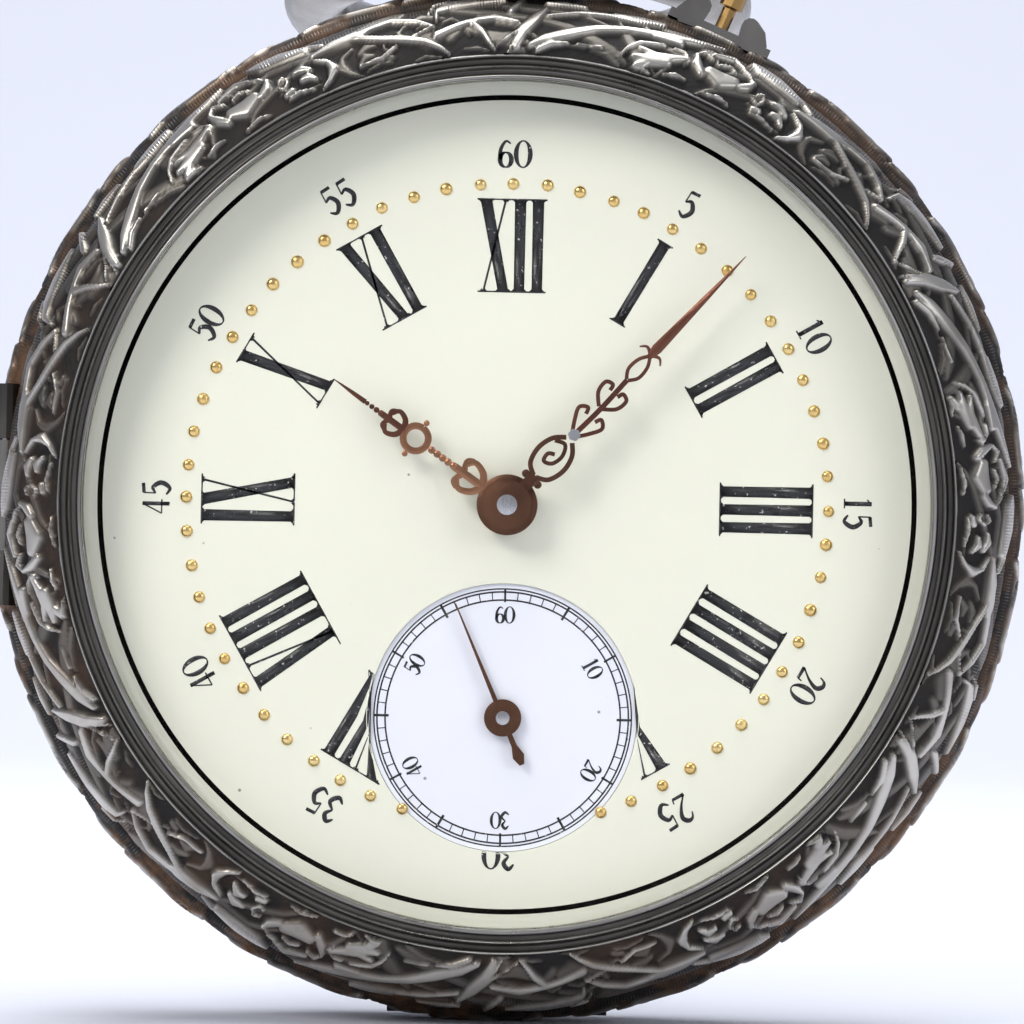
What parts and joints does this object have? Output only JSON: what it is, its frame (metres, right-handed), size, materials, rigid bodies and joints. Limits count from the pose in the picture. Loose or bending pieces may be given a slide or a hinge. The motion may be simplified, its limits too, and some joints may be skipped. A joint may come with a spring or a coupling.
{
  "type": "pocket watch",
  "caption": "Open-face pocket watch with a hinged bezel, back and inner cover, tilting bow, crown and pin-set movement.",
  "frame": {"origin": "on the hands' axis, at the middle of the case band", "axes": "+Z towards twelve o'clock and the crown, +X towards three o'clock, the dial faces -Y"},
  "size_m": [0.051, 0.0293, 0.0621],
  "materials": {
    "silver": "worn cast silver, dark in the recesses",
    "gilt": "gilt brass, finely grained",
    "steel": "polished steel",
    "blued": "heat-blued steel",
    "hand_copper": "aged copper-gilt, browned",
    "enamel": "white enamel with black numerals",
    "crystal": "clear, domed, with a bevelled edge"
  },
  "bodies": {
    "case": {"case_middle": "silver", "pendant": "silver", "bezel_hinge_pin": "steel", "back_hinge_pin": "steel", "bow_pin_left": "steel", "bow_pin_right": "steel", "pusher_guard": "silver", "dial": "enamel", "seconds_dial": "enamel", "main_plate": "gilt", "barrel_bridge": "gilt", "train_bridge": "gilt", "balance_cock": "gilt", "pallet_cock": "gilt", "barrel_bridge_screw_1": "blued", "barrel_bridge_screw_2": "blued", "train_bridge_screw_1": "blued", "train_bridge_screw_2": "blued", "case_screw_1": "blued", "case_screw_2": "blued", "hairspring": "blued", "click_spring": "blued"},
    "bezel": {"bezel": "silver", "crystal": "crystal"},
    "back_cover": {"back_cover": "silver"},
    "cuvette": {"cuvette": "silver"},
    "bow": {"bow": "silver"},
    "winding": {"crown": "silver", "winding_stem": "steel", "winding_pinion": "steel"},
    "clutch": {"sliding_pinion": "steel"},
    "set_pusher": {"set_pusher": "gilt"},
    "setting_lever": {"setting_lever": "steel"},
    "crown_wheel": {"crown_wheel": "steel"},
    "ratchet": {"ratchet_wheel": "steel", "barrel_arbor": "steel"},
    "click": {"click": "steel"},
    "barrel": {"barrel_drum": "gilt", "barrel_cover": "gilt", "mainspring": "steel"},
    "centre": {"centre_arbor": "steel", "centre_wheel": "gilt", "cannon_pinion": "steel", "minute_hand": "hand_copper"},
    "third": {"third_wheel": "gilt", "third_pinion": "steel"},
    "fourth": {"fourth_wheel": "gilt", "fourth_pinion": "steel", "seconds_hand": "hand_copper"},
    "escape": {"escape_wheel": "steel", "escape_pinion": "steel"},
    "minute_wheel": {"minute_wheel": "gilt"},
    "intermediate_wheel": {"intermediate_wheel": "steel"},
    "setting_wheel": {"setting_wheel": "steel"},
    "hour": {"hour_wheel": "gilt", "hour_hand": "hand_copper"},
    "pallet": {"pallet_fork": "steel"},
    "balance": {"balance_wheel": "gilt", "balance_staff": "steel"},
    "regulator": {"regulator": "steel"}
  },
  "joints": [
    {"name": "bezel_hinge", "type": "hinge", "parent": "case", "child": "bezel", "pos_m": [-0.0249, -0.00145, 0], "axis": [0, 0, -1], "range_deg": [0, 110]},
    {"name": "back_hinge", "type": "hinge", "parent": "case", "child": "back_cover", "pos_m": [0, 0.00145, -0.0249], "axis": [-1, 0, 0], "range_deg": [0, 110]},
    {"name": "cuvette_hinge", "type": "hinge", "parent": "case", "child": "cuvette", "pos_m": [0, 0.00145, -0.0249], "axis": [-1, 0, 0], "range_deg": [0, 95]},
    {"name": "bow_pivot", "type": "hinge", "parent": "case", "child": "bow", "pos_m": [0, 0, 0.0274], "axis": [1, 0, 0], "range_deg": [-22, 222]},
    {"name": "crown_turn", "type": "hinge", "parent": "case", "child": "winding", "pos_m": [0, 0, 0.03], "axis": [0, 0, 1], "continuous": true},
    {"name": "clutch_slide", "type": "slide", "parent": "winding", "child": "clutch", "axis": [0, 0, 1], "range_m": [-0.0008, 0]},
    {"name": "pusher_slide", "type": "slide", "parent": "case", "child": "set_pusher", "axis": [-0.3907, 0, -0.9205], "range_m": [0, 0.0008], "stiffness_N_per_m": 1200},
    {"name": "setting_lever_pivot", "type": "hinge", "parent": "case", "child": "setting_lever", "pos_m": [0.0115, 0, 0.0135], "axis": [0, -1, 0], "range_deg": [0, 5.3]},
    {"name": "crown_wheel_turn", "type": "hinge", "parent": "case", "child": "crown_wheel", "pos_m": [0, 0, 0.0131], "axis": [0, 1, 0], "continuous": true},
    {"name": "ratchet_turn", "type": "hinge", "parent": "case", "child": "ratchet", "pos_m": [-0.0062, 0, 0.00652], "axis": [0, 1, 0], "continuous": true},
    {"name": "click_pivot", "type": "hinge", "parent": "case", "child": "click", "pos_m": [-0.0133, 0, 0.0084], "axis": [0, 1, 0], "range_deg": [0, 8], "stiffness_Nm_per_rad": 0.01},
    {"name": "seconds_turn", "type": "hinge", "parent": "case", "child": "fourth", "pos_m": [0, 0, -0.0105], "axis": [0, 1, 0], "continuous": true},
    {"name": "third_turn", "type": "hinge", "parent": "case", "child": "third", "pos_m": [0.00429, 0, -0.00578], "axis": [0, 1, 0], "continuous": true},
    {"name": "minutes_turn", "type": "hinge", "parent": "case", "child": "centre", "pos_m": [0, 0, 0], "axis": [0, 1, 0], "continuous": true},
    {"name": "barrel_turn", "type": "hinge", "parent": "case", "child": "barrel", "pos_m": [-0.0062, 0, 0.00652], "axis": [0, 1, 0], "continuous": true},
    {"name": "escape_turn", "type": "hinge", "parent": "case", "child": "escape", "pos_m": [-0.0053, 0, -0.0126], "axis": [0, 1, 0], "continuous": true},
    {"name": "minute_wheel_turn", "type": "hinge", "parent": "case", "child": "minute_wheel", "pos_m": [0.00155, 0, 0.00268], "axis": [0, 1, 0], "continuous": true},
    {"name": "intermediate_wheel_turn", "type": "hinge", "parent": "case", "child": "intermediate_wheel", "pos_m": [0.00121, 0, 0.00701], "axis": [0, 1, 0], "continuous": true},
    {"name": "setting_wheel_turn", "type": "hinge", "parent": "case", "child": "setting_wheel", "pos_m": [0.0009, 0, 0.01103], "axis": [0, 1, 0], "continuous": true},
    {"name": "hours_turn", "type": "hinge", "parent": "case", "child": "hour", "pos_m": [0, 0, 0], "axis": [0, 1, 0], "continuous": true},
    {"name": "balance_swing", "type": "hinge", "parent": "case", "child": "balance", "pos_m": [-0.011, 0, -0.0065], "axis": [0, 1, 0], "range_deg": [-150, 150], "stiffness_Nm_per_rad": 0.000005},
    {"name": "pallet_rock", "type": "hinge", "parent": "case", "child": "pallet", "pos_m": [-0.00772, 0, -0.01], "axis": [0, 1, 0], "range_deg": [-5, 5]},
    {"name": "regulator_turn", "type": "hinge", "parent": "case", "child": "regulator", "pos_m": [-0.011, 0, -0.0065], "axis": [0, 1, 0], "range_deg": [-12, 12]}
  ],
  "couplings": [
    {"joint": "cuvette_hinge", "follows": "back_hinge", "ratio": 0.85},
    {"joint": "clutch_slide", "follows": "pusher_slide", "ratio": -1},
    {"joint": "setting_lever_pivot", "follows": "pusher_slide", "rad_per_m": 115},
    {"joint": "crown_wheel_turn", "follows": "crown_turn", "ratio": -0.5},
    {"joint": "ratchet_turn", "follows": "crown_turn", "ratio": 0.4},
    {"joint": "third_turn", "follows": "seconds_turn", "ratio": -0.13333},
    {"joint": "minutes_turn", "follows": "seconds_turn", "ratio": 0.016667},
    {"joint": "barrel_turn", "follows": "seconds_turn", "ratio": -0.0020833},
    {"joint": "escape_turn", "follows": "seconds_turn", "ratio": -10},
    {"joint": "minute_wheel_turn", "follows": "seconds_turn", "ratio": -0.0055556},
    {"joint": "intermediate_wheel_turn", "follows": "seconds_turn", "ratio": 0.0064103},
    {"joint": "setting_wheel_turn", "follows": "seconds_turn", "ratio": -0.0064103},
    {"joint": "hours_turn", "follows": "seconds_turn", "ratio": 0.0013889},
    {"joint": "pallet_rock", "follows": "balance_swing", "ratio": -0.033333}
  ]
}
